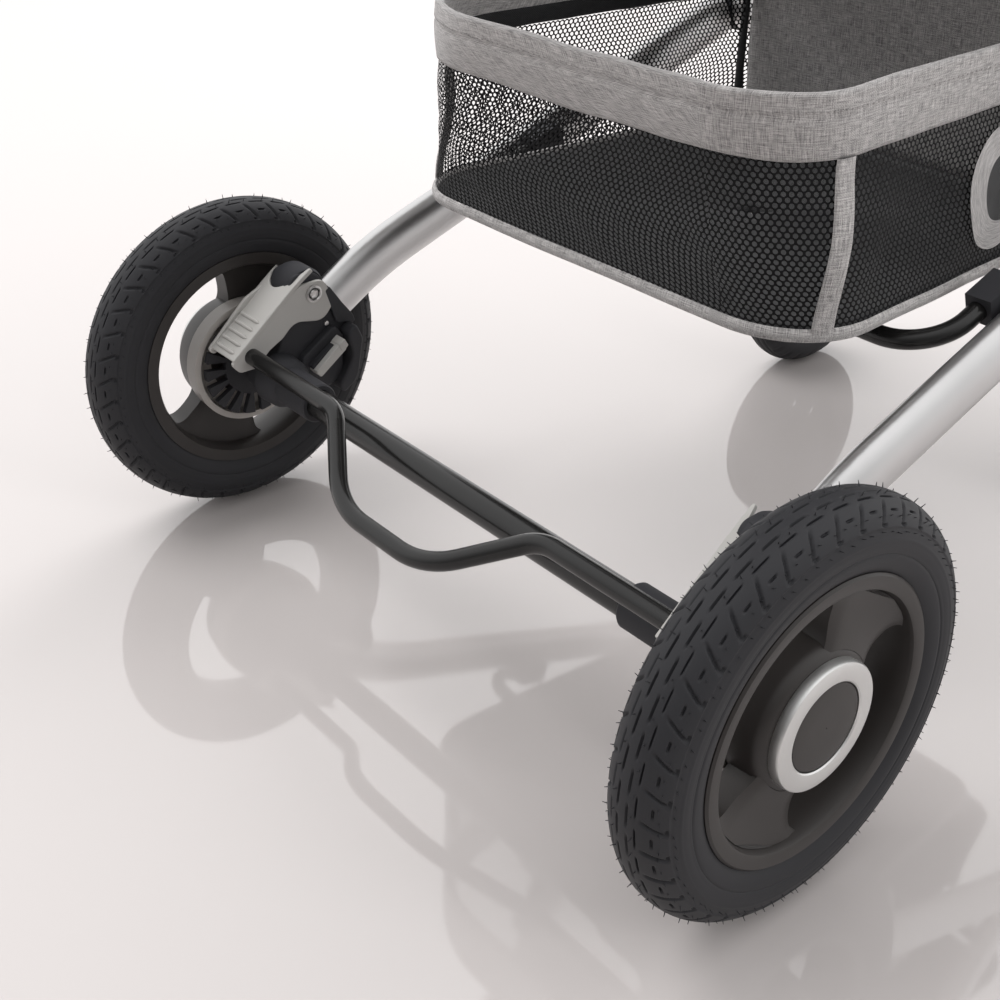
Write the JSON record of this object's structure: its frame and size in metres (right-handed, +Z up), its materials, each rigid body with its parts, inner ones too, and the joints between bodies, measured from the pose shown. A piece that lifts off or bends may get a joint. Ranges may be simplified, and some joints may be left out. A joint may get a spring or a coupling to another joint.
{
  "type": "baby stroller",
  "caption": "Folding baby stroller with air-tyred rear wheels, swivelling front wheels, foot brake, reclining padded seat, hooded canopy and an open mesh basket under the seat.",
  "frame": {"origin": "on the floor, under the middle of the stroller's overall box", "axes": "+Z up; +Y the way the stroller rolls forward; +X to the stroller's right, along the rear axle"},
  "size_m": [0.6228, 0.7954, 1.052],
  "materials": {
    "anodised": "satin anodised",
    "black_tube": "gloss black paint",
    "black_plastic": "fine grain",
    "grey_plastic": "fine grain",
    "steel": "zinc plated",
    "tyre": "moulded rubber",
    "rim": "satin",
    "ring": "satin silver",
    "mesh": "open hexagon mesh",
    "shell_fabric": "woven polyester",
    "base_fabric": "woven webbing",
    "foam": "closed foam",
    "rib": "smooth"
  },
  "bodies": {
    "chassis": {"rear_axle": "black_tube", "brake_pins": "steel", "basket_hoop": "black_tube", "hoop_clamps": "black_plastic", "basket_walls": "mesh", "basket_band": "shell_fabric", "basket_base": "base_fabric", "axle_block_left": "black_plastic", "axle_block_right": "black_plastic", "stub_axle_left": "steel", "stub_axle_right": "steel", "side_tube_left": "anodised", "side_tube_right": "anodised", "fold_socket_left": "black_plastic", "fold_socket_right": "black_plastic", "front_leg_left": "black_tube", "front_leg_right": "black_tube", "caster_head_left": "black_plastic", "caster_head_right": "black_plastic"},
    "brake": {"brake_bar": "black_tube", "brake_lever_left": "grey_plastic", "brake_lever_right": "grey_plastic"},
    "handle_frame": {"frame_post_left": "anodised", "frame_post_right": "anodised", "seat_frame": "black_tube", "seat_pad": "shell_fabric", "buckle": "black_plastic"},
    "handle": {"handlebar": "black_tube", "handle_grip": "foam"},
    "fold_trigger": {"fold_trigger": "grey_plastic"},
    "backrest": {"backrest": "shell_fabric", "harness_straps": "base_fabric", "canopy_rear": "shell_fabric"},
    "footrest": {"footrest": "shell_fabric"},
    "bumper": {"bumper_bar": "foam"},
    "canopy_middle": {"canopy_rib_mid": "rib", "canopy_top": "shell_fabric"},
    "canopy_front": {"canopy_rib_front": "rib", "canopy_front": "shell_fabric"},
    "buckle_button": {"buckle_button": "grey_plastic"},
    "rear_wheel_left": {"rear_tyre_left": "tyre", "rear_rim_left": "rim", "cap_ring_left": "ring", "cap_disc_left": "black_plastic", "brake_rotor_left": "black_plastic"},
    "wheel_release_left": {"wheel_release_left": "grey_plastic"},
    "caster_left": {"caster_fork_left": "black_plastic"},
    "caster_lock_left": {"caster_lock_left": "grey_plastic"},
    "front_wheel_left": {"front_tyre_left": "tyre", "front_rim_left": "rim"},
    "rear_wheel_right": {"rear_tyre_right": "tyre", "rear_rim_right": "rim", "cap_ring_right": "ring", "cap_disc_right": "black_plastic", "brake_rotor_right": "black_plastic"},
    "wheel_release_right": {"wheel_release_right": "grey_plastic"},
    "caster_right": {"caster_fork_right": "black_plastic"},
    "caster_lock_right": {"caster_lock_right": "grey_plastic"},
    "front_wheel_right": {"front_tyre_right": "tyre", "front_rim_right": "rim"}
  },
  "joints": [
    {"name": "foot_brake", "type": "hinge", "parent": "chassis", "child": "brake", "pos_m": [0, -0.23625, 0.19], "axis": [1, 0, 0], "range_deg": [0, 8]},
    {"name": "main_fold", "type": "hinge", "parent": "chassis", "child": "handle_frame", "pos_m": [0, 0.24475, 0.352], "axis": [-1, 0, 0], "range_deg": [0, 95]},
    {"name": "handle_angle", "type": "hinge", "parent": "handle_frame", "child": "handle", "pos_m": [0, -0.23025, 0.93], "axis": [1, 0, 0], "range_deg": [-35, 35]},
    {"name": "fold_trigger_pull", "type": "slide", "parent": "handle", "child": "fold_trigger", "axis": [0, 0, 1], "range_m": [0, 0.005], "stiffness_N_per_m": 400, "springref_m": -0.004},
    {"name": "backrest_recline", "type": "hinge", "parent": "handle_frame", "child": "backrest", "pos_m": [0, -0.01425, 0.506], "axis": [1, 0, 0], "range_deg": [0, 35]},
    {"name": "footrest_tilt", "type": "hinge", "parent": "handle_frame", "child": "footrest", "pos_m": [0, 0.28975, 0.54], "axis": [1, 0, 0], "range_deg": [0, 60]},
    {"name": "bumper_swing", "type": "hinge", "parent": "handle_frame", "child": "bumper", "pos_m": [0, 0.13375, 0.64], "axis": [1, 0, 0], "range_deg": [0, 60]},
    {"name": "canopy_front_swing", "type": "hinge", "parent": "canopy_middle", "child": "canopy_front", "pos_m": [0, -0.10787, 0.78112], "axis": [1, 0, 0], "range_deg": [0, 37.5], "deforming": ["canopy_front"]},
    {"name": "canopy_middle_swing", "type": "hinge", "parent": "backrest", "child": "canopy_middle", "pos_m": [0, -0.10787, 0.78112], "axis": [1, 0, 0], "range_deg": [0, 37.5], "deforming": ["canopy_top"]},
    {"name": "buckle_press", "type": "slide", "parent": "handle_frame", "child": "buckle_button", "axis": [0, 0, -1], "range_m": [0, 0.002], "stiffness_N_per_m": 300, "springref_m": -0.003},
    {"name": "rear_spin_left", "type": "hinge", "parent": "chassis", "child": "rear_wheel_left", "pos_m": [-0.2878, -0.27025, 0.1275], "axis": [1, 0, 0], "continuous": true},
    {"name": "wheel_release_pull_left", "type": "slide", "parent": "chassis", "child": "wheel_release_left", "axis": [1, 0, 0], "range_m": [0, 0.004], "stiffness_N_per_m": 300, "springref_m": -0.003},
    {"name": "caster_swivel_left", "type": "hinge", "parent": "chassis", "child": "caster_left", "pos_m": [-0.169, 0.33275, 0.199], "axis": [0, 0, 1], "continuous": true},
    {"name": "caster_lock_slide_left", "type": "slide", "parent": "chassis", "child": "caster_lock_left", "axis": [0, 0, -1], "range_m": [0, 0.005]},
    {"name": "front_spin_left", "type": "hinge", "parent": "caster_left", "child": "front_wheel_left", "pos_m": [-0.169, 0.30775, 0.09], "axis": [1, 0, 0], "continuous": true},
    {"name": "rear_spin_right", "type": "hinge", "parent": "chassis", "child": "rear_wheel_right", "pos_m": [0.2878, -0.27025, 0.1275], "axis": [1, 0, 0], "continuous": true},
    {"name": "wheel_release_pull_right", "type": "slide", "parent": "chassis", "child": "wheel_release_right", "axis": [-1, 0, 0], "range_m": [0, 0.004], "stiffness_N_per_m": 300, "springref_m": -0.003},
    {"name": "caster_swivel_right", "type": "hinge", "parent": "chassis", "child": "caster_right", "pos_m": [0.169, 0.33275, 0.199], "axis": [0, 0, 1], "continuous": true},
    {"name": "caster_lock_slide_right", "type": "slide", "parent": "chassis", "child": "caster_lock_right", "axis": [0, 0, -1], "range_m": [0, 0.005]},
    {"name": "front_spin_right", "type": "hinge", "parent": "caster_right", "child": "front_wheel_right", "pos_m": [0.169, 0.30775, 0.09], "axis": [1, 0, 0], "continuous": true}
  ],
  "couplings": [
    {"joint": "canopy_front_swing", "follows": "canopy_middle_swing", "ratio": 1}
  ]
}
